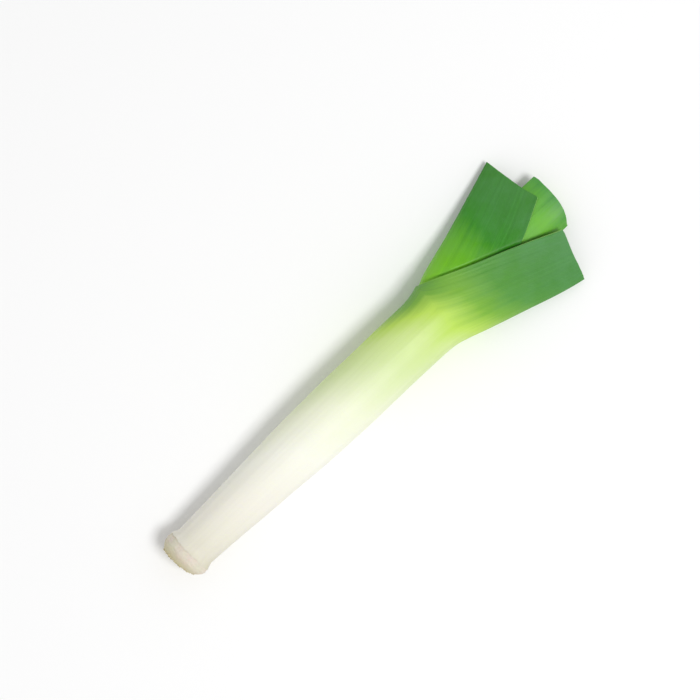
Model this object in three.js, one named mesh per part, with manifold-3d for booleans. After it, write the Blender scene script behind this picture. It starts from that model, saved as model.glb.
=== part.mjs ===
// A trimmed leek lying on a flat surface, in millimetres, with +Z up.
// It lies along X, from the root plate at low X to the cut leaves at high X. Its wide fan of leaves
// is level, so it is seen flat from above. +Y is the side of the second leaf, -Y that of the outer one.
//
// A leek's leaves are wound round each other, the oldest outside. Each one is a closed sheath low down.
// At its mouth the sheath opens, and the leaf goes on as a blade folded in two along its keel. The keels
// leave the shaft by turns to the right and to the left, so the blades spread into a flat fan.
// The sheaths low in the shaft are wound so tight that they are one solid body here. Each leaf inside
// the outer one starts as a solid foot, in the socket that the leaf round it leaves.
import * as THREE from "three";
import { mergeVertices } from "three/addons/utils/BufferGeometryUtils.js";
import Module from "manifold-3d";

const wasm = await Module();
wasm.setup();

// Driving dimensions. X is counted from the root end here, and moved to the resting spot at the end.
const REST_X = 150; // the middle of the flat spot that the shaft lies on
const SEAM = 0.4; // the gap between pieces that touch
const SINK = 0.5; // how far the leek is pressed flat where it lies on the surface
const LIE_FROM = 110; // from here on the shaft lies on the surface along its length
const FAN_FROM = 215; // where the fan starts to spread
const FAN_TO = 320; // where it is fully spread
const DROOP = 5.4; // how far the keels hang below the middle of the fan where it is cut
const LAYER = 1.7; // from one wound leaf to the next, wall and gap
const KEEL_WALL = 2.0;
const RIM_THIN = 0.35; // the share of its wall that a blade loses towards its margins
const FOLD_POWER = 1.6; // how sharply a folded blade's upper face falls to its keel
const SAG_FROM = 297; // where a sagging lower half starts to sink, and where it has sunk
const SAG_TO = 315;
const CUT_LAG = 0.8; // how much shorter the knife left the lower halves of the blades

const PLATE_END = 15.6; // where the root plate meets the shaft
const PLATE_RADIUS = 16.4;
const BULGE_X = 9.4; // where the root plate is widest
const END_SLANT = 0.11; // the knife went across the root end a little askew
const END_SHIFT = 1.1;
const PLATE_SIDES = 36;
const ROOTS = 46;
const ROOT_SIDES = 6;
const ROOT_SUNK = 3; // how deep a cut root stands in the plate
const INNER_RING = 3.5; // how far the roots stand from the plate's middle, from and to
const OUTER_RING = 13.9;
const GOLDEN_ANGLE = 137.508;

// A smooth curve through [x, value] points, which doesn't swing past them and is level outside them.
function curve(points) {
  const slopes = points.slice(1).map((p, i) => (p[1] - points[i][1]) / (p[0] - points[i][0]));
  const tangents = points.map((_, i) => {
    const before = slopes[Math.max(i - 1, 0)];
    const after = slopes[Math.min(i, slopes.length - 1)];
    return before * after > 0 ? (2 * before * after) / (before + after) : 0;
  });
  return (x) => {
    if (x <= points[0][0]) return points[0][1];
    if (x >= points.at(-1)[0]) return points.at(-1)[1];
    const i = points.findIndex((p) => p[0] > x) - 1;
    const span = points[i + 1][0] - points[i][0];
    const t = (x - points[i][0]) / span;
    return (
      points[i][1] * (1 + 2 * t) * (1 - t) ** 2 +
      tangents[i] * span * t * (1 - t) ** 2 +
      points[i + 1][1] * t * t * (3 - 2 * t) +
      tangents[i + 1] * span * t * t * (t - 1)
    );
  };
}

// The whole leek's form, as functions of x.
const shaftRadius = curve([
  [PLATE_END, 14.2],
  [23, 14.6],
  [48, 15.8],
  [73, 17.3],
  [98, 18.6],
  [123, 19.6],
  [150, 20],
  [200, 20.1],
  [FAN_FROM, 20.2],
]);
const halfThickness = curve([
  [FAN_FROM, 20.2],
  [235, 18.9],
  [262, 15.8],
  [292, 12.5],
  [FAN_TO, 10.5],
  [330, 10.3],
]);
const spread = curve([
  [FAN_FROM, 0],
  [FAN_TO, 1],
]);

function halfHeight(x) {
  return x < FAN_FROM ? shaftRadius(x) : halfThickness(x);
}

// The height of the leek's middle. The root plate's bulge and the thick part of the shaft touch the
// surface, and beyond the shaft the fan thins and comes down with its middle.
function middleHeight(x) {
  if (x > LIE_FROM) return halfHeight(x) - SINK;
  const along = (x - BULGE_X) / (LIE_FROM - BULGE_X);
  return THREE.MathUtils.lerp(PLATE_RADIUS, halfHeight(LIE_FROM), along) - SINK;
}

// The leaves, from the outer one in. side is the way the keel leaves the shaft: -1 to the right (-Y),
// +1 to the left (+Y). columns run round the leaf. closedRows are the x of the rows in its sheath, the
// first one its foot. socket is the x of its hollow's floor. mouth is where its sheath opens, on the
// far side from the keel, and bladeRows is the number of rows from there to the cut. keel and far are
// how far the outline reaches on the keel's side and on the other side, at each x. front and back are
// the y of its two margins, over and under. cut is the x of its cut end at each y. fold is how far the
// upper half is folded flat rather than round, and sag how far the lower half sinks to the surface.
const leaves = [
  {
    name: "leaf_1_outer",
    side: -1,
    layer: 0,
    wall: 1.3,
    columns: 42,
    closedRows: [PLATE_END + SEAM, 19, 24, 32, 42, 55, 70, 85, 100, 115, 138, 165, 190, 205, 216],
    socket: 205,
    mouth: 228,
    bladeRows: 13,
    keel: [[215, 20.2], [221, 20.8], [229, 22.9], [242, 27.3], [267, 35.2], [292, 43.1], [308, 46.9], [322, 49.2]],
    far: [[215, 20.2], [222, 21.2], [228, 22.9], [238, 26.8], [262, 34], [298, 45.8], [322, 53.4]],
    front: [[260, 9.3], [286, -0.8], [318, -14.6]],
    back: [[262, 7.5], [288, -3.2], [318, -15.8]],
    cut: [[-49, 308.4], [-45, 309.8], [-30, 314], [-15, 318.8], [0, 321]],
    fold: 0.7,
    sag: 0,
    colour: 0xe4efc0,
  },
  {
    name: "leaf_2_left",
    side: 1,
    layer: 1,
    wall: 1.2,
    columns: 36,
    closedRows: [205 + SEAM, 214, 222, 230, 236],
    socket: 222,
    mouth: 242,
    bladeRows: 13,
    keel: [[215, 18.1], [228, 20.1], [237, 23.9], [248, 27.8], [262, 31.9], [298, 43.2], [315, 48.7], [322, 51]],
    far: [[215, 17.5], [228, 18.4], [242, 22.4], [267, 30], [292, 36.5], [322, 42]],
    front: [[270, -11.5], [296, -1.9], [310, 4.8], [322, 11]],
    back: [[270, -10], [296, -0.2], [322, 13.5]],
    cut: [[5, 322.6], [11, 321.6], [22, 318.8], [35, 316.8], [48, 315.4], [52, 315]],
    fold: 0.7,
    sag: 1.5,
    colour: 0x4d9440,
  },
  {
    name: "leaf_3_middle",
    side: -1,
    layer: 2,
    wall: 1.15,
    columns: 32,
    closedRows: [222 + SEAM, 235, 250, 262, 276, 288, 296],
    socket: 262,
    mouth: 302,
    bladeRows: 7,
    keel: [[215, 15.8], [262, 16.2], [300, 15.6], [330, 15.2]],
    far: [[215, 15.7], [262, 17.4], [300, 22], [330, 26]],
    front: [[330, 22]],
    back: [[330, 17]],
    cut: [[-16, 323.6], [-11, 326.4], [-5, 328.8], [5, 330.2], [18, 330.2], [26, 328.4]],
    fold: 0,
    sag: 0,
    colour: 0x7cbf4b,
  },
  {
    name: "leaf_4_inner_left",
    side: 1,
    layer: 3,
    wall: 1.1,
    columns: 28,
    closedRows: [262 + SEAM, 276, 286, 296],
    socket: 276,
    mouth: 304,
    bladeRows: 6,
    keel: [[262, 15.4], [300, 18.2], [330, 19.6]],
    far: [[262, 13.7], [300, 13.2], [330, 12.6]],
    front: [[330, -7.5]],
    back: [[330, -5]],
    cut: [[-12, 326], [0, 329], [12, 329.4], [20, 327.4]],
    fold: 0,
    sag: 0,
    colour: 0x9ccf5c,
  },
  {
    name: "leaf_5_inner_right",
    side: -1,
    layer: 4,
    wall: 1.1,
    columns: 24,
    closedRows: [276 + SEAM, 288, 298],
    socket: 288,
    mouth: 308,
    bladeRows: 5,
    keel: [[276, 11.9], [330, 9.8]],
    far: [[276, 13.9], [330, 15.8]],
    front: [[330, 10]],
    back: [[330, 7]],
    cut: [[-9, 327.8], [0, 329.4], [15, 328.6]],
    fold: 0,
    sag: 0,
    colour: 0xb9de74,
  },
  {
    name: "leaf_6_heart",
    side: 1,
    layer: 5,
    wall: 0,
    columns: 20,
    closedRows: [288 + SEAM, 300, 312],
    socket: Infinity,
    mouth: 320,
    bladeRows: 1,
    keel: [[288, 12.1], [330, 12.8]],
    far: [[288, 9.2], [330, 7]],
    front: null,
    back: null,
    cut: [[-9, 328.6], [0, 329.6], [13, 328.8]],
    fold: 0,
    sag: 0,
    colour: 0xd3eb93,
  },
];
for (const leaf of leaves) {
  for (const key of ["keel", "far", "cut"]) leaf[key] = curve(leaf[key]);
  const mouthPoint = [leaf.mouth, -leaf.side * leaf.far(leaf.mouth)];
  if (leaf.front) leaf.front = curve([mouthPoint, ...leaf.front]);
  if (leaf.back) leaf.back = curve([mouthPoint, ...leaf.back]);
}

// The centre and half width of a leaf's outline at x, drawn in by the given walls. In the shaft the
// outer leaf is as wide as the shaft.
function outline(leaf, x, keelWall, wall) {
  const inShaft = leaf.layer === 0 && x < FAN_FROM;
  const keel = (inShaft ? shaftRadius(x) : leaf.keel(x)) - keelWall;
  const far = (inShaft ? shaftRadius(x) : leaf.far(x)) - wall;
  return { centre: (leaf.side * (keel - far)) / 2, half: (keel + far) / 2 };
}

// A point of the leaf's outer or inner surface. angle is 0 at the keel and turns to half a turn on the
// far side, positive over the top and negative underneath.
function surfacePoint(leaf, x, angle, inside) {
  const wall = inside ? leaf.wall : 0;
  const { centre, half } = outline(leaf, x, inside ? KEEL_WALL : 0, wall);
  const y = centre + leaf.side * half * Math.cos(angle);
  const thick = halfHeight(x) - LAYER * leaf.layer - wall;
  const round = Math.abs(Math.sin(angle));
  const folded = 1 - Math.abs(Math.cos(angle)) ** FOLD_POWER;
  const fold = leaf.fold * spread(x);
  const sag = leaf.sag * THREE.MathUtils.smoothstep(x, SAG_FROM, SAG_TO);
  const rise = angle > 0 ? thick * ((1 - fold) * round + fold * folded) : -(thick + sag) * round;
  const fan = outline(leaves[0], x, 0, 0);
  const droop = DROOP * spread(x) * (y / fan.half) ** 2;
  return [x, y, Math.max(0, middleHeight(x) - droop + rise)];
}

// The angle of a margin at x, from its y: half a turn while the sheath is closed.
function marginAngle(leaf, x, over) {
  if (x <= leaf.mouth || !leaf.front) return Math.PI;
  const { centre, half } = outline(leaf, x, 0, 0);
  const y = (over ? leaf.front : leaf.back)(x);
  return Math.acos(THREE.MathUtils.clamp((leaf.side * (y - centre)) / half, -1, 1));
}

// Where the column at share s of the way to a margin is cut: the x at which it meets the knife's line,
// found by trying again from the y that the last try gives.
function cutAt(leaf, s) {
  const lag = s < 0 ? CUT_LAG * Math.sin(-s * Math.PI) : 0;
  let x = leaf.cut(0);
  for (let attempt = 0; attempt < 20; attempt++) {
    const y = surfacePoint(leaf, x, s * marginAngle(leaf, x, s > 0), false)[1];
    x = leaf.cut(y) - lag;
  }
  return x;
}

// One leaf as a closed surface: its outside from the foot to the cut, its inside from the cut down to
// the socket's floor, the two margins and the cut rim between them, and the foot's flat end.
function leafGeometry(leaf) {
  const { columns, bladeRows, mouth } = leaf;
  const positions = [];
  const index = [];
  const add = (p) => positions.push(...p) / 3 - 1;
  // Two triangles on the same diagonal whichever way they face, so that a thin wall's two skins
  // are split alike.
  const quad = (a, b, c, d, flip) => index.push(...(flip ? [a, c, b, a, d, c] : [a, b, c, a, c, d]));
  const shares = Array.from({ length: columns + 1 }, (_, j) => -1 + (2 * j) / columns);
  const cuts = shares.map((s) => cutAt(leaf, s));

  // A row of points. open is 0 in the sheath, where the first and last column are one, and then
  // the share of the way from the mouth to the cut.
  function row(x, open, inside) {
    const made = shares.map((s, j) => {
      if (j === columns && open === 0) return null;
      const at = x + (cuts[j] - mouth) * open;
      const angle = s * marginAngle(leaf, at, s > 0);
      const outer = surfacePoint(leaf, at, angle, false);
      if (!inside) return add(outer);
      const inner = surfacePoint(leaf, at, angle, true);
      const keep = 1 - RIM_THIN * Math.abs(s) ** 6 * Math.min(1, 2 * open);
      return add(outer.map((v, k) => v + (inner[k] - v) * keep));
    });
    if (open === 0) made[columns] = made[0];
    return made;
  }
  function rows(from, inside) {
    const made = leaf.closedRows.filter((x) => x >= from && x < mouth).map((x) => row(x, 0, inside));
    made.push(row(mouth, 0, inside));
    for (let k = 1; k <= bladeRows; k++) made.push(row(mouth, (k / bladeRows) ** 2, inside));
    return made;
  }
  function skin(made, flip) {
    for (let k = 0; k + 1 < made.length; k++) {
      for (let j = 0; j < columns; j++) {
        quad(made[k][j], made[k][j + 1], made[k + 1][j + 1], made[k + 1][j], flip);
      }
    }
  }
  function disc(made, flip) {
    const ring = made.slice(0, columns);
    const mean = (k) => ring.reduce((sum, v) => sum + positions[v * 3 + k], 0) / columns;
    const middle = add([mean(0), mean(1), mean(2)]);
    for (let j = 0; j < columns; j++) {
      index.push(...(flip ? [middle, made[j], made[j + 1]] : [middle, made[j + 1], made[j]]));
    }
  }

  // The columns of a leaf with its keel on the right run the other way round than a left one's.
  const mirrored = leaf.side < 0;
  const outer = rows(-Infinity, false);
  skin(outer, mirrored);
  disc(outer[0], mirrored);
  if (leaf.front) {
    const inner = rows(leaf.socket, true);
    skin(inner, !mirrored);
    disc(inner[0], !mirrored);
    const outs = outer.slice(-bladeRows - 1);
    const ins = inner.slice(-bladeRows - 1);
    for (let k = 0; k < bladeRows; k++) {
      quad(outs[k][0], outs[k + 1][0], ins[k + 1][0], ins[k][0], mirrored);
      quad(outs[k][columns], outs[k + 1][columns], ins[k + 1][columns], ins[k][columns], !mirrored);
    }
    const [cutOut, cutIn] = [outs.at(-1), ins.at(-1)];
    for (let j = 0; j < columns; j++) quad(cutOut[j], cutOut[j + 1], cutIn[j + 1], cutIn[j], mirrored);
  } else {
    disc(outer.at(-1), !mirrored);
  }
  const geometry = new THREE.BufferGeometry();
  geometry.setAttribute("position", new THREE.Float32BufferAttribute(positions, 3));
  geometry.setIndex(index);
  geometry.computeVertexNormals();
  return geometry;
}

// The root plate: the hard disc that the leaves and the roots grow from. Points are [x, radius].
const plateProfile = [
  [1.6, 0],
  [1.1, 5],
  [1.2, 9],
  [2, 11.6],
  [3.7, 13.8],
  [6.4, 15.7],
  [BULGE_X, PLATE_RADIUS],
  [12.2, 15.9],
  [14.4, 14.9],
  [PLATE_END, 14],
  [PLATE_END, 0],
];
const plateFace = curve(plateProfile.slice(0, 6).map(([x, radius]) => [radius, x]));

// A generator of even random numbers from 0 to 1, the same on each run.
function seeded(seed) {
  let state = seed;
  return () => {
    state = (state * 1664525 + 1013904223) % 4294967296;
    return state / 4294967296;
  };
}

// A closed mesh with its vertices merged, as a solid to join.
function solid(geometry) {
  const bare = geometry.clone().deleteAttribute("normal").deleteAttribute("uv");
  const merged = mergeVertices(bare, 1e-4);
  const vertProperties = new Float32Array(merged.attributes.position.array);
  const triVerts = new Uint32Array(merged.index.array);
  return new wasm.Manifold(new wasm.Mesh({ numProp: 3, vertProperties, triVerts }));
}

// One cut root: a short stub, sunk in the plate's face at the given distance from its middle and
// turn round it. share is 0 in the middle of the plate and 1 at its rim, where the roots lean out.
function rootStub(ring, turn, share, random) {
  const radius = 1 + 0.5 * random();
  const length = ROOT_SUNK + 0.5 + 0.9 * random();
  const lean = 0.9 * share ** 3 + 0.3 * (random() - 0.5);
  const stub = new THREE.CylinderGeometry(radius * 0.7, radius * 1.15, length, ROOT_SIDES);
  stub.translate(0, length / 2 - ROOT_SUNK, 0);
  stub.rotateZ(Math.PI / 2 - lean);
  stub.translate(plateFace(ring), ring, 0);
  stub.rotateX(turn);
  return stub;
}

function plateGeometry() {
  // A lathe turns its profile round Y, so it is turned to lie along X.
  const profile = plateProfile.map(([x, radius]) => new THREE.Vector2(radius, x));
  const lathe = new THREE.LatheGeometry(profile, PLATE_SIDES).rotateZ(-Math.PI / 2);
  const random = seeded(11);
  let plate = solid(lathe);
  for (let i = 0; i < ROOTS; i++) {
    // The roots are spread evenly over the plate, each a golden angle on from the last.
    const share = Math.sqrt((i + 0.5) / ROOTS);
    const ring = THREE.MathUtils.lerp(INNER_RING, OUTER_RING, share);
    const turn = THREE.MathUtils.degToRad(i * GOLDEN_ANGLE);
    plate = plate.add(solid(rootStub(ring, turn, share, random)));
  }
  // The end is sheared askew, lifted to the leek's middle, and pressed flat where it lies.
  const mesh = plate.getMesh();
  const points = Float32Array.from(mesh.vertProperties);
  for (let i = 0; i < points.length; i += 3) {
    const askew = 1 - points[i] / PLATE_END;
    points[i] += askew * (END_SHIFT - END_SLANT * points[i + 1]);
    points[i + 2] = Math.max(0, points[i + 2] + middleHeight(BULGE_X));
  }
  const geometry = new THREE.BufferGeometry();
  geometry.setAttribute("position", new THREE.BufferAttribute(points, 3));
  geometry.setIndex(new THREE.BufferAttribute(mesh.triVerts, 1));
  geometry.computeVertexNormals();
  return geometry;
}

const leek = new THREE.Group();
leek.name = "leek";

function addPiece(name, geometry, colour, roughness) {
  const material = new THREE.MeshStandardMaterial({ color: colour, roughness, metalness: 0 });
  const mesh = new THREE.Mesh(geometry, material);
  mesh.name = name;
  mesh.position.x = -REST_X;
  leek.add(mesh);
}

addPiece("root_plate", plateGeometry(), 0xe0d6b2, 0.8);
for (const leaf of leaves) addPiece(leaf.name, leafGeometry(leaf), leaf.colour, 0.5);

export default leek;
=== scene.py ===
# %% [markdown]
# # A leek, dressed for its picture
#
# A leek is a bundle of leaves. Each leaf is a closed sheath low down, where all of them together make
# the white shaft, and opens into a green blade that is folded in two along its keel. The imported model
# already holds the right solids. This lesson gives each one a finer skin of the same form, with veins,
# soft folds and the colours of a real leek, and then sets up the light and the camera.

import bisect
import math
import random

import bpy
from mathutils import Euler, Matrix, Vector, noise


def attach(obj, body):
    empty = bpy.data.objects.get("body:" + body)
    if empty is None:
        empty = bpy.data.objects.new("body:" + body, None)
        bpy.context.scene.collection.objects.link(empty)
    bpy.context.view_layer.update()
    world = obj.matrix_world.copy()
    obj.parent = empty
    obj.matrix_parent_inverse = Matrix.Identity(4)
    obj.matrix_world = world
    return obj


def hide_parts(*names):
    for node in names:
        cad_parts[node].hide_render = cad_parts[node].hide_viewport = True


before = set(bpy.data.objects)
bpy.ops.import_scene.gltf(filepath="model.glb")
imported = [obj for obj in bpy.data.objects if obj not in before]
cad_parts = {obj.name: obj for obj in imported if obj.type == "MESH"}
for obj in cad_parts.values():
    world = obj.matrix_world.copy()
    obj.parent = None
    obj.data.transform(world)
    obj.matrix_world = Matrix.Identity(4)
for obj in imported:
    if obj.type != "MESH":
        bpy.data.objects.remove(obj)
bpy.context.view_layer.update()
print("The packed model has the nodes", sorted(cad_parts))

# %% [markdown]
# The camera comes first, because every later step is judged through it. The leek lies on a level
# surface and is seen straight down. A long lens from over a metre away keeps its two ends at one
# scale. The camera is turned round its own line of sight, so that the shaft runs up to the right.

# %% Place the camera
MM = 0.001
REST_X = 150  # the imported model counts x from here, and the values below from the root end
CAMERA_HEIGHT = 1215 * MM
CAMERA_ROLL = 43.5
AIM = Vector(((171.3 - REST_X) * MM, 22.2 * MM, 15 * MM))

bpy.ops.object.camera_add(location=AIM + Vector((0, 0, CAMERA_HEIGHT)))
camera = bpy.context.object
camera.name = "camera"
camera.rotation_euler = Euler((0, 0, -math.radians(CAMERA_ROLL)))
camera.data.lens = 100
camera.data.sensor_width = 36
bpy.context.scene.camera = camera

# %% [markdown]
# The light is a plain studio's: a white floor, white all round, and one broad soft key. The key hangs
# nearly overhead and a little to the right of the leek, so the crown of the shaft is its brightest
# place and its left flank turns grey. It is big and far away, which keeps the floor evenly white.

# %% Light the scene
def add_area_light(name, place, size, power, towards=(0.02, 0, 0.01)):
    """A square soft light that faces a point near the leek's middle."""
    bpy.ops.object.light_add(type="AREA", location=place)
    light = bpy.context.object
    light.name = name
    light.data.shape = "SQUARE"
    light.data.size = size
    light.data.energy = power
    light.rotation_euler = (Vector(towards) - Vector(place)).to_track_quat("-Z", "Y").to_euler()
    return light


add_area_light("key", (0.35, -1.0, 2.5), 0.8, 38)

world = bpy.data.worlds.new("studio")
bpy.context.scene.world = world
world.use_nodes = True
world.node_tree.nodes["Background"].inputs["Color"].default_value = (1, 1, 1, 1)
world.node_tree.nodes["Background"].inputs["Strength"].default_value = 0.6
bpy.context.scene.view_settings.view_transform = "Standard"

# %% Lay the floor
bpy.ops.mesh.primitive_plane_add(size=6, location=(0, 0, -0.0002))
floor = bpy.context.object
floor.name = "floor"

# %% [markdown]
# The leek's form is written as curves: how wide and how thick it is at each place along its length.
# A curve goes through a few points measured from the root end, in millimetres, and is smooth between
# them. It never swings past its points, so a leaf can't bulge into its neighbour.

# %% A smooth curve through points
def curve(*points):
    xs = [p[0] for p in points]
    ys = [p[1] for p in points]
    slopes = [(b[1] - a[1]) / (b[0] - a[0]) for a, b in zip(points, points[1:])]
    tangents = []
    for i in range(len(points)):
        before = slopes[max(i - 1, 0)]
        after = slopes[min(i, len(slopes) - 1)]
        level = before * after <= 0
        tangents.append(0 if level else 2 * before * after / (before + after))

    def value(x):
        if x <= xs[0]:
            return ys[0]
        if x >= xs[-1]:
            return ys[-1]
        i = bisect.bisect_right(xs, x) - 1
        span = xs[i + 1] - xs[i]
        t = (x - xs[i]) / span
        return (
            ys[i] * (1 + 2 * t) * (1 - t) ** 2
            + tangents[i] * span * t * (1 - t) ** 2
            + ys[i + 1] * t * t * (3 - 2 * t)
            + tangents[i + 1] * span * t * t * (t - 1)
        )

    return value


# %% The whole leek's form
LEEK_LENGTH = 330
SINK = 0.5  # how much of the underside the leek's weight presses flat
LIE_FROM = 110  # from here on the shaft lies on the surface
FAN_FROM = 215
FAN_TO = 320
DROOP = 5.4  # how far the sides of the fan hang below its middle
PLATE_END = 15.6
PLATE_RADIUS = 16.4
BULGE_X = 9.4  # where the root plate is widest

shaft_radius = curve(
    (12.2, 16.2), (14.4, 15.2), (17.2, 14.4), (23, 14.6), (48, 15.8), (73, 17.3), (98, 18.6),
    (123, 19.6), (150, 20), (200, 20.1), (FAN_FROM, 20.2),
)
half_thickness = curve(
    (FAN_FROM, 20.2), (235, 18.9), (262, 15.8), (292, 12.5), (FAN_TO, 10.5), (330, 10.3)
)
spread = curve((FAN_FROM, 0), (FAN_TO, 1))


def smooth_step(x, low, high):
    t = min(max((x - low) / (high - low), 0), 1)
    return t * t * (3 - 2 * t)


def half_height(x):
    return shaft_radius(x) if x < FAN_FROM else half_thickness(x)


def middle_height(x):
    """The height of the leek's middle line over the surface that it lies on."""
    if x > LIE_FROM:
        return half_height(x) - SINK
    along = (x - BULGE_X) / (LIE_FROM - BULGE_X)
    return PLATE_RADIUS + along * (half_height(LIE_FROM) - PLATE_RADIUS) - SINK


# %% [markdown]
# Each leaf is one entry in a list, from the outer one in. Its side says which way its keel leaves the
# shaft: -1 to the right and +1 to the left. Its layer counts the leaves outside it, and its wall is
# how thick it is. Its sheath starts at the foot, is hollow from the socket on, and opens at the mouth.
# The curves give how far it reaches on the keel's side and on the far side, where its two margins run,
# in front and at the back, and where the knife cut it. The fold draws the upper half of a blade from
# round to roof-shaped, and the sag lets its underside hang near the cut. The lift raises its upper
# margin off the leaf below, as the edge of a real leaf does once it has started to dry. Below that
# edge the inner leaves dip a little, and the two together draw the thin dark line along it.

# %% The leaves
LEAVES = [
    dict(
        piece="outer_leaf", node="leaf_1_outer", slot="outer_leaf",
        side=-1, layer=0, wall=1.3, columns=168, sheath_rows=92, blade_rows=60,
        foot=12.8, socket=205, mouth=228,
        keel=curve(
            (215, 20.2), (221, 20.8), (229, 22.9), (242, 27.3), (267, 35.2), (292, 43.1),
            (308, 46.9), (322, 49.2),
        ),
        far=curve(
            (215, 20.2), (222, 21.2), (228, 22.9), (238, 26.8), (262, 34), (298, 45.8), (322, 53.4)
        ),
        front=[(260, 9.3), (286, -0.8), (318, -14.6)],
        back=[(262, 7.5), (288, -3.2), (318, -15.8)],
        cut=curve((-49, 308.4), (-45, 309.8), (-30, 314), (-15, 318.8), (0, 321)),
        fold=0.7, sag=0, lift=1.5, torn=0.5,
    ),
    dict(
        piece="left_leaf", node="leaf_2_left", slot="left_leaf",
        side=1, layer=1, wall=1.2, columns=176, sheath_rows=24, blade_rows=88,
        foot=205.4, socket=222, mouth=242,
        keel=curve(
            (215, 18.1), (222, 19.2), (228, 21), (236, 24.6), (248, 28.1), (262, 31.9), (298, 43.2),
            (315, 48.7), (322, 51)
        ),
        far=curve((215, 17.5), (228, 18.4), (242, 22.4), (267, 30), (292, 36.5), (322, 42)),
        front=[(270, -11.5), (296, -1.9), (310, 4.8), (322, 11)],
        back=[(270, -10), (296, -0.2), (322, 13.5)],
        cut=curve((5, 322.6), (11, 321.6), (22, 318.8), (35, 316.8), (48, 315.4), (52, 315)),
        fold=0.7, sag=1.5, lift=0.5,
    ),
    dict(
        piece="middle_leaf", node="leaf_3_middle", slot="middle_leaf",
        side=-1, layer=2, wall=1.15, columns=144, sheath_rows=64, blade_rows=36,
        foot=222.4, socket=262, mouth=302,
        keel=curve((215, 15.8), (262, 16.2), (300, 15.6), (330, 15.2)),
        far=curve((215, 15.7), (262, 17.4), (300, 22), (330, 26)),
        front=[(330, 22)],
        back=[(330, 17)],
        cut=curve((-16, 323.6), (-11, 326.4), (-5, 328.8), (5, 330.2), (18, 330.2), (26, 328.4)),
        fold=0, sag=0, lift=0,
    ),
    dict(
        piece="inner_left_leaf", node="leaf_4_inner_left", slot="inner_leaves",
        side=1, layer=3, wall=1.1, columns=96, sheath_rows=22, blade_rows=20,
        foot=262.4, socket=276, mouth=304,
        keel=curve((262, 15.4), (300, 18.2), (330, 19.6)),
        far=curve((262, 13.7), (300, 13.2), (330, 12.6)),
        front=[(330, -7.5)],
        back=[(330, -5)],
        cut=curve((-12, 326), (0, 329), (12, 329.4), (20, 327.4)),
        fold=0, sag=0, lift=0,
    ),
    dict(
        piece="inner_right_leaf", node="leaf_5_inner_right", slot="inner_leaves",
        side=-1, layer=4, wall=1.1, columns=80, sheath_rows=18, blade_rows=16,
        foot=276.4, socket=288, mouth=308,
        keel=curve((276, 11.9), (330, 9.8)),
        far=curve((276, 13.9), (330, 15.8)),
        front=[(330, 10)],
        back=[(330, 7)],
        cut=curve((-9, 327.8), (0, 329.4), (15, 328.6)),
        fold=0, sag=0, lift=0,
    ),
    dict(
        piece="heart_leaf", node="leaf_6_heart", slot="inner_leaves",
        side=1, layer=5, wall=1.0, columns=64, sheath_rows=18, blade_rows=10,
        foot=288.4, socket=318, mouth=324,
        keel=curve((288, 12.1), (330, 12.8)),
        far=curve((288, 9.2), (330, 7)),
        front=[(330, -4)],
        back=[(330, -4.6)],
        cut=curve((-9, 328.6), (0, 329.6), (13, 328.8)),
        fold=0, sag=0, lift=0,
    ),
]
for leaf in LEAVES:
    start = (leaf["mouth"], -leaf["side"] * leaf["far"](leaf["mouth"]))
    leaf["front"] = curve(start, *leaf["front"])
    leaf["back"] = curve(start, *leaf["back"])


# %% [markdown]
# A point of a leaf is found from two numbers: x, along the leek, and an angle round the leaf, which
# is 0 at the keel and half a turn on the far side, positive over the top and negative underneath.
# The same function gives the outer skin and, drawn in by the wall, the inner one.

# %% A point on a leaf
LAYER = 1.7  # how much deeper each leaf lies than the one round it
KEEL_WALL = 2.0  # a leaf is thickest along its keel
FOLD_POWER = 1.6  # 1 folds a blade like a roof, and more makes it fuller
SAG_FROM, SAG_TO = 297, 315


def outline(leaf, x, keel_wall, wall):
    """The centre and half width of the leaf at x."""
    in_shaft = leaf["layer"] == 0 and x < FAN_FROM
    keel = (shaft_radius(x) if in_shaft else leaf["keel"](x)) - keel_wall
    far = (shaft_radius(x) if in_shaft else leaf["far"](x)) - wall
    return leaf["side"] * (keel - far) / 2, (keel + far) / 2


def surface_point(leaf, x, angle, inside):
    wall = leaf["wall"] if inside else 0
    centre, half = outline(leaf, x, KEEL_WALL if inside else 0, wall)
    y = centre + leaf["side"] * half * math.cos(angle)
    thick = half_height(x) - LAYER * leaf["layer"] - wall
    over = abs(math.sin(angle))
    folded = 1 - abs(math.cos(angle)) ** FOLD_POWER
    fold = leaf["fold"] * spread(x)
    sag = leaf["sag"] * smooth_step(x, SAG_FROM, SAG_TO)
    rise = thick * ((1 - fold) * over + fold * folded) if angle > 0 else -(thick + sag) * over
    fan_half = outline(LEAVES[0], x, 0, 0)[1]
    droop = DROOP * spread(x) * (y / fan_half) ** 2
    return Vector((x, y, max(0, middle_height(x) - droop + rise)))


# %% Where a leaf ends
CUT_LAG = 0.8  # the knife went through the underside this much nearer the root
RAGGED = 0.12  # how uneven the cut is
RAGGED_COUNT = 14


def margin_angle(leaf, x, over):
    """The angle at which the leaf ends at x: half a turn while its sheath is closed."""
    if x <= leaf["mouth"]:
        return math.pi
    centre, half = outline(leaf, x, 0, 0)
    y = leaf["front"](x) if over else leaf["back"](x)
    return math.acos(min(max(leaf["side"] * (y - centre) / half, -1), 1))


def column_angle(leaf, x, share):
    """The angle of a column at x. Where the blade opens, the veins beside its margin turn first."""
    end = margin_angle(leaf, x, share > 0)
    opened = 1 - end / math.pi
    if opened <= 0:
        return share * math.pi
    bend = abs(share) ** (opened**-0.5)
    return math.copysign(math.pi * (abs(share) - opened * bend), share)


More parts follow.
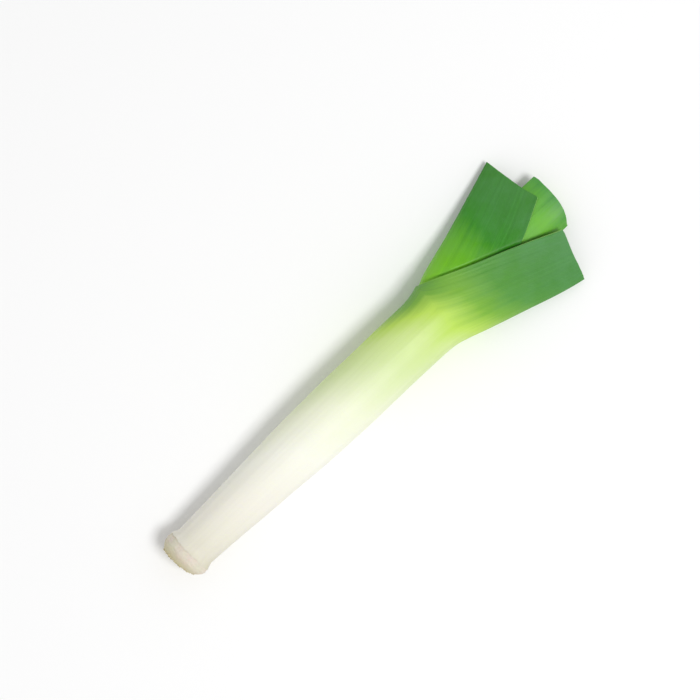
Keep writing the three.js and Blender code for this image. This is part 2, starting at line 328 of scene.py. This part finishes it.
def cut_at(leaf, share):
    """The x at which the column at that share of the way to a margin meets the knife's line.

    The column runs aslant and so does the cut, so their meeting place is found by stepping towards it.
    """
    lag = CUT_LAG * math.sin(-share * math.pi) if share < 0 else 0
    x = leaf["cut"](0)
    for _ in range(20):
        y = surface_point(leaf, x, column_angle(leaf, x, share), False).y
        x = leaf["cut"](y) - lag
    return x + RAGGED * noise.noise(Vector((share * RAGGED_COUNT, leaf["layer"] * 3.7, 0.5)))


# %% [markdown]
# A bare formula looks machined. A real leaf has soft lengthwise folds, a few millimetres wide and a
# fraction of a millimetre high, which run from the root to the tip, and blades that are a little
# uneven. Both skins of a leaf get the same push, along the line from the leaf's middle, so its wall
# keeps its thickness. Nothing sinks into the surface below: where the shaft lies, it is flat.

# %% Make it grown, not turned
# Each kind of wave has a height, a number of lumps across the outer leaf, how fast it changes along
# the leaf, and a place of its own in the noise.
FOLDS = (0.24, 11, 0.012, 0)
RIBS = (0.09, 30, 0.006, 40)
BROAD_WAVES = (0.3, 3, 0.03, 80)
BROAD_FROM, BROAD_TO = 20, 70  # the foot of the shaft is too firm for the broad ones
OPENING = 20  # a margin takes its full lift and thinness this far beyond the mouth
RIM_THIN = 0.35  # the share of its thickness that a leaf loses at its margins
RIM_POWER, LIFT_POWER = 6, 10  # the higher, the narrower the thin and the lifted strip
DIP_DEPTH, DIP_WIDTH, DIP_SHIFT = 2.1, 1.7, 0.1
DIP_FROM, DIP_TO = 227, 235


def ring_noise(share, x, count, stretch, seed):
    """Noise that runs along the leaf and meets itself on the far side: count lumps across it."""
    radius = count / math.pi
    turn = share * math.pi
    across = Vector((math.cos(turn) * radius, math.sin(turn) * radius, x * stretch + seed))
    return noise.noise(across)


def uneven(leaf, x, share):
    """How far the skin stands out or in at this place, in millimetres."""
    size = leaf["columns"] / LEAVES[0]["columns"]
    seed = leaf["layer"] * 11.3

    def wave(height, count, stretch, start):
        return height * ring_noise(share, x, count * size, stretch, seed + start)

    return wave(*FOLDS) + wave(*RIBS) + wave(*BROAD_WAVES) * smooth_step(x, BROAD_FROM, BROAD_TO)


def pressed_in(leaf, x, y):
    """How deep an inner leaf dips under the margin of the outer one, which lies across it."""
    if leaf["layer"] == 0:
        return 0
    off_centre = (y - LEAVES[0]["front"](x) - DIP_SHIFT) / DIP_WIDTH
    return DIP_DEPTH * math.exp(-(off_centre**2)) * smooth_step(x, DIP_FROM, DIP_TO)


def place(leaf, x, share, inside):
    """A point of the finished leaf, in metres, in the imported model's frame."""
    angle = column_angle(leaf, x, share)
    outer = surface_point(leaf, x, angle, False)
    open_share = smooth_step(x, leaf["mouth"], leaf["mouth"] + OPENING)
    middle = Vector((x, outline(leaf, x, 0, 0)[0], middle_height(x)))
    away = (outer - middle).normalized() * uneven(leaf, x, share)
    point = outer
    if inside:
        inner = surface_point(leaf, x, angle, True)
        keep = 1 - RIM_THIN * abs(share) ** RIM_POWER * open_share
        point = outer.lerp(inner, keep)
    lift = leaf["lift"] * open_share * max(share, 0) ** LIFT_POWER
    on_top = smooth_step(math.sin(angle), 0, 0.4)
    lift -= pressed_in(leaf, x, point.y) * on_top
    point = point + away + Vector((0, 0, lift))
    point.z = max(point.z, 0)
    return (point - Vector((REST_X, 0, 0))) * MM


# %% [markdown]
# Each leaf starts as a flat grid, with as many columns as the leaf is wide. The grid is duplicated in
# edit mode and the copy's normals are flipped: one sheet becomes the outer skin and the other the
# inner skin. Then every vertex is moved to its place. In the sheath the first and the last column
# meet, and merging doubles closes the tube. What is left open is the foot and the socket's floor,
# which are filled, and the long rim round the blade, which is bridged from skin to skin. The rim is
# bridged in three parts, the cut end and the two margins, because one bridge round it all can twist.

# %% Helpers for modelling
def deselect_all():
    if bpy.context.object and bpy.context.object.mode != "OBJECT":
        bpy.ops.object.mode_set(mode="OBJECT")
    bpy.ops.object.select_all(action="DESELECT")


def apply_modifier(piece, kind, **settings):
    modifier = piece.modifiers.new(kind.lower(), kind)
    for name, value in settings.items():
        setattr(modifier, name, value)
    bpy.context.view_layer.objects.active = piece
    bpy.ops.object.modifier_apply(modifier=modifier.name)


def select_only(piece):
    deselect_all()
    piece.select_set(True)
    bpy.context.view_layer.objects.active = piece


def edit_all(*steps):
    """Runs edit mode operators, each with its settings, on the whole of the active mesh."""
    bpy.ops.object.mode_set(mode="EDIT")
    bpy.ops.mesh.select_all(action="SELECT")
    for operator, settings in steps:
        operator(**settings)
    bpy.ops.object.mode_set(mode="OBJECT")


def open_edges(mesh):
    """The edges that have one face only."""
    faces_of = {}
    for polygon in mesh.polygons:
        for key in polygon.edge_keys:
            faces_of[key] = faces_of.get(key, 0) + 1
    return [edge for edge in mesh.edges if faces_of.get(edge.key, 0) == 1]


def select_edges(piece, edges):
    mesh = piece.data
    for group in (mesh.vertices, mesh.edges, mesh.polygons):
        group.foreach_set("select", [False] * len(group))
    for edge in edges:
        edge.select = True
        for vertex in edge.vertices:
            mesh.vertices[vertex].select = True


def edit_edges(piece, edges, operator, **settings):
    """Runs one edit mode operator on the given edges."""
    select_edges(piece, edges)
    bpy.ops.object.mode_set(mode="EDIT")
    bpy.ops.mesh.select_mode(type="EDGE")
    operator(**settings)
    bpy.ops.object.mode_set(mode="OBJECT")


# %% Lay out the grid
STEP_GROWTH = 1.5


def torn_edge(share):
    """The outer leaf's lower edge, torn from the plate: nine wide tongues and many small ones."""
    return 2 * ring_noise(share, 0, 9, 1, 3.3) + ring_noise(share, 0, 25, 1, 7.7)


def row_x(leaf, along, share, cut, inside):
    """x of a grid row: even steps up the sheath, then steps that grow from the mouth to the cut."""
    rows = leaf["sheath_rows"] + leaf["blade_rows"]
    row = round(along * rows)
    if row <= leaf["sheath_rows"]:
        low = leaf["socket"] if inside else leaf["foot"] + leaf.get("torn", 0) * torn_edge(share)
        return low + (leaf["mouth"] - low) * row / leaf["sheath_rows"]
    share_up = (row - leaf["sheath_rows"]) / leaf["blade_rows"]
    return leaf["mouth"] + (cut - leaf["mouth"]) * share_up**STEP_GROWTH


def map_uv(mesh, shares, heights):
    """U runs across the leaf and V along it, in lengths of the whole leek."""
    layer = mesh.uv_layers.active or mesh.uv_layers.new(name="along_the_leaf")
    layer.name = "along_the_leaf"
    for loop in mesh.loops:
        v = loop.vertex_index
        layer.data[loop.index].uv = (0.5 + 0.5 * shares[v], heights[v] / LEEK_LENGTH)


def shape_skins(leaf, mesh):
    """Moves every vertex of the grid to its place on the leaf. The selected ones are the inner skin.

    Each vertex keeps its place in the grid as an attribute, so that the parts of the rim can be told
    apart once the doubles are merged.
    """
    share_of = mesh.attributes.new("share", "FLOAT", "POINT")
    along_of = mesh.attributes.new("along", "FLOAT", "POINT")
    cuts = {}
    shares = []
    heights = []
    for vertex in mesh.vertices:
        share = vertex.co.x
        along = (vertex.co.y + 1) / 2
        key = round(share, 5)
        if key not in cuts:
            cuts[key] = cut_at(leaf, share)
        shares.append(share)
        heights.append(row_x(leaf, along, share, cuts[key], vertex.select))
        share_of.data[vertex.index].value = share
        along_of.data[vertex.index].value = along
    map_uv(mesh, shares, heights)
    for vertex, share, x in zip(mesh.vertices, shares, heights):
        vertex.co = place(leaf, x, share, vertex.select)


# %% Close the foot and the rim
RIM_ROOM = 0.5 * MM
RING_REACH = 1.5 * MM  # the torn foot's edge isn't level, so its ring is looked for this far round it


def fill_ring(piece, at):
    """Fills the open ring near this x, the foot's or the socket floor's."""
    mesh = piece.data
    x = (at - REST_X) * MM
    ring = [
        edge for edge in open_edges(mesh)
        if all(abs(mesh.vertices[v].co.x - x) < RING_REACH for v in edge.vertices)
    ]
    edit_edges(piece, ring, bpy.ops.mesh.edge_face_add)


LAST_ROW = 0.9999


def rim_part(mesh, edge):
    """Whether a rim edge is on the cut end, or on the margin over or under the leaf."""
    share = mesh.attributes["share"].data
    along = mesh.attributes["along"].data
    if all(along[v].value > LAST_ROW for v in edge.vertices):
        return "cut"
    farther = max(edge.vertices, key=lambda v: along[v].value)
    return "over" if share[farther].value > 0 else "under"


def bridge_rim(piece, mouth):
    """Joins the two skins along the rim, and marks the new faces as cut flesh."""
    mesh = piece.data
    faces_before = len(mesh.polygons)
    low = (mouth - REST_X) * MM - RIM_ROOM
    rim = {"cut": set(), "over": set(), "under": set()}
    for edge in open_edges(mesh):
        if all(mesh.vertices[v].co.x > low for v in edge.vertices):
            rim[rim_part(mesh, edge)].add(edge.key)
    for part in rim.values():
        edges = [edge for edge in mesh.edges if edge.key in part]
        edit_edges(piece, edges, bpy.ops.mesh.bridge_edge_loops)
    longest = 0
    for polygon in mesh.polygons[faces_before:]:
        polygon.material_index = 1
        for a, b in polygon.edge_keys:
            longest = max(longest, (mesh.vertices[a].co - mesh.vertices[b].co).length / MM)
    print(piece.name, "has", len(open_edges(mesh)), "open edges")
    print("Its longest rim edge is", round(longest, 2), "mm")


# %% Model the leaves
def model_leaf(leaf):
    deselect_all()
    rows = leaf["sheath_rows"] + leaf["blade_rows"]
    bpy.ops.mesh.primitive_grid_add(x_subdivisions=leaf["columns"], y_subdivisions=rows, size=2)
    piece = bpy.context.object
    piece.name = leaf["piece"]
    mesh = piece.data
    mesh.name = leaf["piece"]
    # After these two the copy is what is selected, and it becomes the inner skin.
    edit_all((bpy.ops.mesh.duplicate, {}), (bpy.ops.mesh.flip_normals, {}))
    shape_skins(leaf, mesh)
    edit_all((bpy.ops.mesh.remove_doubles, {"threshold": 0.00001}))
    fill_ring(piece, leaf["foot"])
    fill_ring(piece, leaf["socket"])
    bridge_rim(piece, leaf["mouth"])
    mesh.attributes.remove(mesh.attributes["share"])
    mesh.attributes.remove(mesh.attributes["along"])
    return piece


pieces = {leaf["piece"]: model_leaf(leaf) for leaf in LEAVES}

# %% Finish the leaves' meshes
for leaf in LEAVES:
    piece = pieces[leaf["piece"]]
    select_only(piece)
    bpy.ops.object.shade_smooth_by_angle(angle=math.radians(50))
    print(piece.name, "has", len(piece.data.vertices), "vertices")

# %% [markdown]
# The root end is a hard disc, the plate, that the leaves and roots grow from. Its side bulges out over
# the shaft's foot, and its face is dull and rough with the stumps of the roots, cut short. The plate
# is a circle extruded and scaled ring by ring. One root stump is modelled, copied round the plate a
# golden angle apart, and all of it is fused by a voxel remesh, so that the stumps grow out of the
# plate as they do on the real thing.

# %% Model the plate
PLATE_PROFILE = [
    (14.4, 14.9), (12.2, 15.9), (BULGE_X, PLATE_RADIUS), (6.4, 15.7), (3.7, 13.8),
    (2, 11.6), (1.2, 9), (1.1, 5), (1.5, 1.6),
]
plate_face = curve((1.6, 1.5), (5, 1.1), (9, 1.2), (11.6, 2), (13.8, 3.7), (15.7, 6.4))
START_RADIUS = 13.9


def model_plate():
    deselect_all()
    bpy.ops.mesh.primitive_circle_add(
        vertices=64, radius=START_RADIUS, location=(PLATE_END, 0, 0), rotation=(0, math.radians(90), 0)
    )
    plate = bpy.context.object
    plate.name = "root_end"
    bpy.ops.object.transform_apply(location=True, rotation=True, scale=True)
    bpy.ops.object.mode_set(mode="EDIT")
    bpy.ops.mesh.select_all(action="SELECT")
    bpy.ops.mesh.edge_face_add()
    last_x, last_radius = PLATE_END, START_RADIUS
    for x, radius in PLATE_PROFILE:
        bpy.ops.mesh.extrude_region_move(TRANSFORM_OT_translate={"value": (x - last_x, 0, 0)})
        scale = radius / last_radius
        bpy.ops.transform.resize(value=(1, scale, scale), center_override=(x, 0, 0))
        last_x, last_radius = x, radius
    bpy.ops.mesh.merge(type="CENTER")
    bpy.ops.object.mode_set(mode="OBJECT")
    edit_edges(plate, open_edges(plate.data), bpy.ops.mesh.edge_face_add)
    edit_all((bpy.ops.mesh.normals_make_consistent, {"inside": False}))
    apply_modifier(plate, "SUBSURF", levels=2, render_levels=2)
    return plate


plate = model_plate()
print("The plate has", len(plate.data.vertices), "vertices")
print("Its open edges:", len(open_edges(plate.data)))


# %% Model one root stump
STUMP_LENGTH = 5


def model_stump():
    deselect_all()
    bpy.ops.mesh.primitive_cone_add(vertices=10, radius1=1.2, radius2=0.8, depth=STUMP_LENGTH)
    stump = bpy.context.object
    stump.name = "root_stump"
    edit_all((bpy.ops.mesh.subdivide, {"number_cuts": 1}))
    apply_modifier(stump, "BEVEL", width=0.25, segments=2, limit_method="ANGLE")
    return stump


# %% Plant the stumps
STUMPS = 150
GOLDEN_ANGLE = math.radians(137.508)
FIRST_RING = 1
LAST_RING = 12.8
OUTWARD_LEAN = 0.5  # of the outermost stumps, in radians
VOXEL = 0.32


def plant_stumps(plate, stump):
    draw = random.Random(7)
    deselect_all()
    for i in range(STUMPS):
        share = math.sqrt((i + 0.5) / STUMPS)
        ring = FIRST_RING + (LAST_RING - FIRST_RING) * share + draw.uniform(-0.4, 0.4)
        turn = i * GOLDEN_ANGLE
        lean = OUTWARD_LEAN * share**3 + draw.uniform(-0.25, 0.25)
        proud = draw.uniform(0.1, 0.9)
        width = draw.uniform(0.4, 0.85)
        copy = stump.copy()
        copy.data = stump.data.copy()
        bpy.context.collection.objects.link(copy)
        foot = Vector((plate_face(ring), math.cos(turn) * ring, math.sin(turn) * ring))
        aside = math.sin(lean)
        out = Vector((-math.cos(lean), math.cos(turn) * aside, math.sin(turn) * aside))
        copy.rotation_euler = out.to_track_quat("Z", "Y").to_euler()
        copy.location = foot + out * (proud - STUMP_LENGTH / 2)
        copy.scale = (width, width * draw.uniform(0.8, 1.2), 1)
        copy.select_set(True)
    bpy.data.objects.remove(stump)
    plate.select_set(True)
    bpy.context.view_layer.objects.active = plate
    bpy.ops.object.join()


plant_stumps(plate, model_stump())
apply_modifier(plate, "REMESH", mode="VOXEL", voxel_size=VOXEL)
apply_modifier(plate, "SMOOTH", factor=0.5, iterations=2)
print("The fused plate has", len(plate.data.vertices), "vertices")

# %% [markdown]
# The fused plate gets what no primitive has: a slanted cut, ridges round its side where old leaves
# were peeled off, and a flat spot where it lies. How far each point stands out of the plate's face is
# kept as an attribute, because the stumps are browner than the plate between them.

# %% Weather the plate
END_SLANT = 0.11
END_SHIFT = 1.1
STUMP_FROM, STUMP_TO = 0.1, 1.1  # how far out of the plate's face a stump starts, and is all stump
RIDGE_HEIGHT, RIDGE_TURN, RIDGE_WANDER = 0.1, 2.2, 5
LUMP_HEIGHT, LUMP_SIZE = 0.5, 0.2
GRAIN_HEIGHT, GRAIN_SIZE = 0.12, 0.9
FACE_GRAIN_HEIGHT = 0.2
FACE_TO, SIDE_FROM, SIDE_TO, SHAFT_FROM = 3, 7, 11, 14
LEAST_RING = 4  # nearer the middle than this the face doesn't swell


def weather_plate(plate):
    mesh = plate.data
    stump_mask = mesh.attributes.new("stump", "FLOAT", "POINT")
    lift = middle_height(BULGE_X)
    for vertex in mesh.vertices:
        x, y, z = vertex.co
        ring = math.hypot(y, z)
        stump_mask.data[vertex.index].value = smooth_step(plate_face(ring) - x, STUMP_FROM, STUMP_TO)
        on_side = smooth_step(x, FACE_TO, SIDE_FROM) * smooth_step(-x, -SHAFT_FROM, -SIDE_TO)
        grain = noise.noise(vertex.co * GRAIN_SIZE)
        wander = RIDGE_WANDER * noise.noise(vertex.co * 0.12)
        ridges = RIDGE_HEIGHT * math.sin(x * RIDGE_TURN + wander) * on_side
        rough = (LUMP_HEIGHT * noise.noise(vertex.co * LUMP_SIZE) + GRAIN_HEIGHT * grain) * on_side
        grow = 1 + (ridges + rough) / max(ring, LEAST_RING)
        askew = 1 - x / PLATE_END
        x += askew * (END_SHIFT - END_SLANT * y) + FACE_GRAIN_HEIGHT * grain * (1 - on_side)
        z = max(z * grow + lift, 0)
        vertex.co = Vector((x - REST_X, y * grow, z)) * MM


weather_plate(plate)
select_only(plate)
bpy.ops.object.shade_smooth()
pieces["root_end"] = plate

# %% [markdown]
# Now the finishes. A colour is given as a paint program shows it, from 0 to 255, and Blender wants
# light values, so one helper turns the first into the second. Another sets a node's sockets and makes
# its links in one go, which keeps each material short enough to read.

# %% Helpers for materials
def paint(red, green, blue):
    """A colour as the eye names it, as the light values that Blender's sockets take."""
    def light(value):
        value /= 255
        return value / 12.92 if value <= 0.04045 else ((value + 0.055) / 1.055) ** 2.4

    return (light(red), light(green), light(blue), 1)


def connect(tree, node, inputs):
    """Sets a node's inputs. A value is a number, a colour or another node's output socket."""
    for name, value in inputs.items():
        if isinstance(value, bpy.types.NodeSocket):
            tree.links.new(value, node.inputs[name])
        else:
            node.inputs[name].default_value = value


def add_node(tree, kind, inputs, **settings):
    made = tree.nodes.new("ShaderNode" + kind)
    for name, value in settings.items():
        setattr(made, name, value)
    connect(tree, made, inputs)
    return made


def maths(tree, operation, first, second=0.0, third=0.0):
    return add_node(tree, "Math", {0: first, 1: second, 2: third}, operation=operation).outputs[0]


def mix_colours(tree, amount, first, second, blend="MIX"):
    """The Mix node has sockets for each kind of value. Inputs 6 and 7 and output 2 are its colours."""
    made = add_node(tree, "Mix", {0: amount, 6: first, 7: second}, data_type="RGBA", blend_type=blend)
    return made.outputs[2]


def ramp(tree, value, stops, scale=1.0):
    """A colour ramp. A stop is a place on it and a colour."""
    made = add_node(tree, "ValToRGB", {"Fac": value})
    elements = made.color_ramp.elements
    while len(elements) < len(stops):
        elements.new(0.5)
    for element, (position, colour) in zip(elements, stops):
        element.position = position / scale
        element.color = colour
    return made.outputs["Color"]


def new_group(name, inputs, outputs):
    """An empty node group with float or vector sockets, and its input and output nodes."""
    group = bpy.data.node_groups.new(name, "ShaderNodeTree")
    for socket, kind in inputs.items():
        group.interface.new_socket(socket, in_out="INPUT", socket_type=kind)
    for socket, kind in outputs.items():
        group.interface.new_socket(socket, in_out="OUTPUT", socket_type=kind)
    return group, group.nodes.new("NodeGroupInput").outputs, group.nodes.new("NodeGroupOutput").inputs


def use_group(tree, group, inputs):
    return add_node(tree, "Group", inputs, node_tree=group).outputs


def mapped(tree, value, low, high, ends="SMOOTHSTEP"):
    """0 at low and 1 at high, with soft ends unless they are LINEAR. Low may be the greater one."""
    limits = {"Value": value, "From Min": low, "From Max": high}
    return add_node(tree, "MapRange", limits, interpolation_type=ends).outputs[0]


def new_material(name):
    """A material with nodes, its node tree, and its shader."""
    material = bpy.data.materials.new(name)
    material.use_nodes = True
    return material, material.node_tree, material.node_tree.nodes["Principled BSDF"]


# %% [markdown]
# A leek's leaf has fine veins that run side by side from the root to the tip. All the leaves share
# them, so they are a node group. It reads the leaf's own map, in which U runs across the leaf and V
# along it, so the veins follow every fold and spread with the blade.

# %% Group: veins
FLOAT, VECTOR = "NodeSocketFloat", "NodeSocketVector"


def make_veins_group():
    group, given, wanted = new_group(
        "leaf veins", {"Map": VECTOR, "Count": FLOAT}, {"Fine": FLOAT, "Broad": FLOAT}
    )
    apart = add_node(group, "SeparateXYZ", {0: given["Map"]}).outputs
    for name, share, stretch in (("Fine", 1.0, 5.0), ("Broad", 0.22, 2.4)):
        count = maths(group, "MULTIPLY", given["Count"], share)
        across = maths(group, "MULTIPLY", apart["X"], count)
        along = maths(group, "MULTIPLY", apart["Y"], stretch)
        place = add_node(group, "CombineXYZ", {"X": across, "Y": along}).outputs[0]
        looks = {"Vector": place, "Scale": 1.0, "Detail": 2.5, "Roughness": 0.6}
        group.links.new(add_node(group, "TexNoise", looks).outputs["Fac"], wanted[name])
    return group


# %% [markdown]
# The colour of a leek says how much light each part of a leaf has had: white where earth covered it,
# then cream, yellow-green, and green in the open. The change runs along the leek, but it comes
# sooner at a leaf's margins than at its keel, and never along a straight line. This group works out
# that greenness as one number from 0 at the root end to 1 at 330 mm.

# %% Group: greening
EDGE_PALE, EDGE_GREEN = 252, 216  # the margins lead between these two places, in millimetres


def make_greening_group():
    group, given, wanted = new_group(
        "greening", {"Map": VECTOR, "Ahead": FLOAT, "Behind": FLOAT, "Wander": FLOAT}, {"Green": FLOAT}
    )
    apart = add_node(group, "SeparateXYZ", {0: given["Map"]}).outputs
    from_keel = maths(group, "ABSOLUTE", maths(group, "MULTIPLY_ADD", apart["X"], 2.0, -1.0))
    low_down = mapped(group, apart["Y"], EDGE_PALE / LEEK_LENGTH, EDGE_GREEN / LEEK_LENGTH)
    edge = maths(group, "MULTIPLY", mapped(group, from_keel, 0.45, 1.0), low_down)
    keel = mapped(group, from_keel, 0.42, 0.0)

    def lumps(across, along, detail):
        stretch = {"Vector": given["Map"], "Scale": (across, along, 1)}
        place = add_node(group, "Mapping", stretch).outputs[0]
        looks = {"Vector": place, "Scale": 1.0, "Detail": detail}
        return add_node(group, "TexNoise", looks).outputs["Fac"]

    drift_and_streaks = maths(group, "ADD", lumps(9, 5, 3.0), lumps(46, 2.2, 2.0))
    both = maths(group, "SUBTRACT", drift_and_streaks, 1.0)
    green = maths(group, "MULTIPLY_ADD", edge, given["Ahead"], apart["Y"])
    green = maths(group, "SUBTRACT", green, maths(group, "MULTIPLY", keel, given["Behind"]))
    green = maths(group, "MULTIPLY_ADD", both, given["Wander"], green)
    group.links.new(green, wanted["Green"])
    return group


# %% [markdown]
# The green part of a leek is covered with a thin bloom of wax. It lies in soft patches, which are
# paler, bluer and duller than the leaf between them. The same group clouds the cream of the root end.

# %% Group: bloom
def make_bloom_group():
    group, given, wanted = new_group("waxy bloom", {"Place": VECTOR, "Size": FLOAT}, {"Mask": FLOAT})
    looks = {"Vector": given["Place"], "Scale": given["Size"], "Detail": 5.0, "Roughness": 0.62}
    patches = add_node(group, "TexNoise", looks).outputs["Fac"]
    group.links.new(mapped(group, patches, 0.38, 0.66, "LINEAR"), wanted["Mask"])
    return group


VEINS, GREENING, BLOOM = make_veins_group(), make_greening_group(), make_bloom_group()


# %% Make a leaf's finish
def leaf_finish(name, stops, count, bloom, ahead=0, behind=0, wander=12, vein_light=0.16):
    """Stops are places in millimetres along the leek and their colours, for the middle of the leaf.

    The margins are ahead in turning green and the keel is behind, both in millimetres, and the line
    between wanders.
    """
    material, tree, shader = new_material(name)
    place = add_node(tree, "TexCoord", {}).outputs
    veins = use_group(tree, VEINS, {"Map": place["UV"], "Count": count})
    leads = {"Ahead": ahead / LEEK_LENGTH, "Behind": behind / LEEK_LENGTH, "Wander": wander / LEEK_LENGTH}
    green = use_group(tree, GREENING, {"Map": place["UV"], **leads})["Green"]
    wax = use_group(tree, BLOOM, {"Place": place["Object"], "Size": 55.0})["Mask"]
    base = ramp(tree, green, stops, LEEK_LENGTH)
    in_green = ramp(tree, green, [(215, paint(0, 0, 0)), (275, paint(255, 255, 255))], LEEK_LENGTH)

    waxed = maths(tree, "MULTIPLY", wax, maths(tree, "MULTIPLY", in_green, bloom))
    colour = mix_colours(tree, waxed, base, paint(120, 172, 140))
    lines = maths(tree, "SUBTRACT", maths(tree, "ADD", veins["Fine"], veins["Broad"]), 1.0)
    lines = maths(tree, "MULTIPLY", lines, vein_light)
    lines = maths(tree, "MULTIPLY", lines, maths(tree, "MULTIPLY_ADD", in_green, 0.8, 0.2))
    brighter = maths(tree, "ADD", lines, 1.0)
    tint = add_node(tree, "CombineXYZ", {0: brighter, 1: brighter, 2: brighter}).outputs[0]
    height = maths(tree, "MULTIPLY_ADD", veins["Broad"], 1.4, veins["Fine"])
    bump = add_node(tree, "Bump", {"Height": height, "Strength": 0.55, "Distance": 0.00028})
    connect(tree, shader, {
        "Base Color": mix_colours(tree, 1.0, colour, tint, "MULTIPLY"),
        "Roughness": maths(tree, "MULTIPLY_ADD", wax, 0.16, 0.36),
        "Normal": bump.outputs[0],
        "Subsurface Weight": 0.12,
        "Subsurface Radius": (0.004, 0.0045, 0.002),
        "Subsurface Scale": 0.6,
        "Specular IOR Level": 0.25,
    })
    return material


# %% [markdown]
# The cut ends and the margins show the inside of a leaf: paler, wet and full of small air channels.
# The channels stand side by side across the thickness of the leaf, so they are a Voronoi pattern.

# %% Make the cut flesh
def cut_finish(name, colour, dark):
    material, tree, shader = new_material(name)
    place = add_node(tree, "TexCoord", {}).outputs["Object"]
    spots = add_node(tree, "TexVoronoi", {"Vector": place, "Scale": 900.0}).outputs["Distance"]
    channels = mapped(tree, spots, 0.6, 0.1, "LINEAR")
    cloud = use_group(tree, BLOOM, {"Place": place, "Size": 240.0})["Mask"]
    shade = maths(tree, "MULTIPLY_ADD", channels, 0.5, 0.15)
    bump = add_node(tree, "Bump", {"Height": channels, "Strength": 0.5, "Distance": 0.0002})
    connect(tree, shader, {
        "Base Color": mix_colours(tree, shade, colour, dark),
        "Roughness": maths(tree, "MULTIPLY_ADD", cloud, 0.2, 0.35),
        "Normal": bump.outputs[0],
        "Subsurface Weight": 0.15,
        "Subsurface Radius": (0.002, 0.003, 0.001),
    })
    return material


# %% Choose the leaves' colours
WHITE_FLESH = [
    (0, paint(208, 203, 178)), (16, paint(222, 218, 202)), (32, paint(229, 226, 211)),
    (62, paint(237, 234, 222)), (105, paint(243, 243, 230)), (145, paint(237, 241, 214)),
    (185, paint(213, 230, 168)),
]
OUTER_STOPS = WHITE_FLESH + [
    (208, paint(206, 228, 146)), (226, paint(187, 221, 92)), (246, paint(123, 176, 60)),
    (266, paint(83, 147, 54)), (288, paint(74, 138, 58)), (322, paint(74, 136, 70)),
]
LEFT_STOPS = [
    (200, paint(206, 230, 140)), (226, paint(134, 198, 44)), (245, paint(117, 191, 34)),
    (265, paint(98, 173, 32)), (282, paint(54, 136, 24)), (300, paint(58, 129, 40)),
    (330, paint(66, 130, 50)),
]
MIDDLE_STOPS = [
    (215, paint(220, 234, 170)), (265, paint(160, 206, 90)), (298, paint(118, 190, 66)),
    (314, paint(106, 180, 48)), (330, paint(78, 148, 66)),
]
INNER_STOPS = [
    (250, paint(228, 236, 186)), (300, paint(200, 222, 124)), (330, paint(156, 200, 92)),
]

# %% Dress the leaves
FINISHES = {
    "outer_leaf": leaf_finish("outer leaf skin", OUTER_STOPS, 170, ahead=40, behind=12, bloom=0.12),
    "left_leaf": leaf_finish("left leaf skin", LEFT_STOPS, 150, bloom=0.12, vein_light=0.3),
    "middle_leaf": leaf_finish("middle leaf skin", MIDDLE_STOPS, 120, bloom=0.1),
    "inner_leaves": leaf_finish("inner leaf skin", INNER_STOPS, 90, bloom=0.06),
}
GREEN_CUT = cut_finish("cut leaf", paint(150, 196, 112), paint(92, 150, 66))
PALE_CUT = cut_finish("cut inner leaf", paint(214, 232, 160), paint(168, 206, 110))

for leaf in LEAVES:
    piece = pieces[leaf["piece"]]
    piece.data.materials.append(FINISHES[leaf["slot"]])
    piece.data.materials.append(PALE_CUT if leaf["slot"] == "inner_leaves" else GREEN_CUT)


# %% [markdown]
# The plate is cream where leaves were peeled from its side, and tan to brown on its face, most of all
# on the tips of the stumps, where they have dried. The bloom's group serves here too, at a large size
# for clouds of colour and at a small one for grit.

# %% Make the plate's finish
SIDE_X, FACE_X = 9, 1  # its side is cream up to the first and its face tan from the second


def plate_finish():
    material, tree, shader = new_material("root plate")
    place = add_node(tree, "TexCoord", {}).outputs["Object"]
    stump = add_node(tree, "Attribute", {}, attribute_name="stump").outputs["Fac"]
    x = add_node(tree, "SeparateXYZ", {0: place}).outputs["X"]
    towards_end = mapped(tree, x, (SIDE_X - REST_X) * MM, (FACE_X - REST_X) * MM, "LINEAR")
    cloud = use_group(tree, BLOOM, {"Place": place, "Size": 130.0})["Mask"]
    grit = use_group(tree, BLOOM, {"Place": place, "Size": 900.0})["Mask"]
    side = mix_colours(tree, cloud, paint(220, 216, 194), paint(226, 212, 200))
    face = mix_colours(tree, cloud, paint(206, 196, 150), paint(192, 178, 130))
    colour = mix_colours(tree, towards_end, side, face)
    tips = maths(tree, "MULTIPLY", stump, maths(tree, "MULTIPLY_ADD", grit, 0.5, 0.4))
    height = maths(tree, "ADD", grit, cloud)
    bump = add_node(tree, "Bump", {"Height": height, "Strength": 0.6, "Distance": 0.0003})
    connect(tree, shader, {
        "Base Color": mix_colours(tree, tips, colour, paint(170, 146, 98)),
        "Roughness": maths(tree, "MULTIPLY_ADD", grit, 0.2, 0.6),
        "Normal": bump.outputs[0],
        "Subsurface Weight": 0.1,
        "Subsurface Radius": (0.004, 0.003, 0.002),
    })
    return material


plate.data.materials.clear()
plate.data.materials.append(plate_finish())

# %% Finish the floor
floor_material, floor_tree, floor_shader = new_material("pale floor")
connect(floor_tree, floor_shader, {"Base Color": (0.94, 0.94, 0.94, 1), "Roughness": 0.9})
floor.data.materials.append(floor_material)

# %% [markdown]
# Last, the nodes of the imported model that the pieces replace are hidden, and every piece rides on the
# one body.

# %% Seat the pieces
for leaf in LEAVES:
    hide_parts(leaf["node"])
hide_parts("root_plate")
for piece in pieces.values():
    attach(piece, "root")
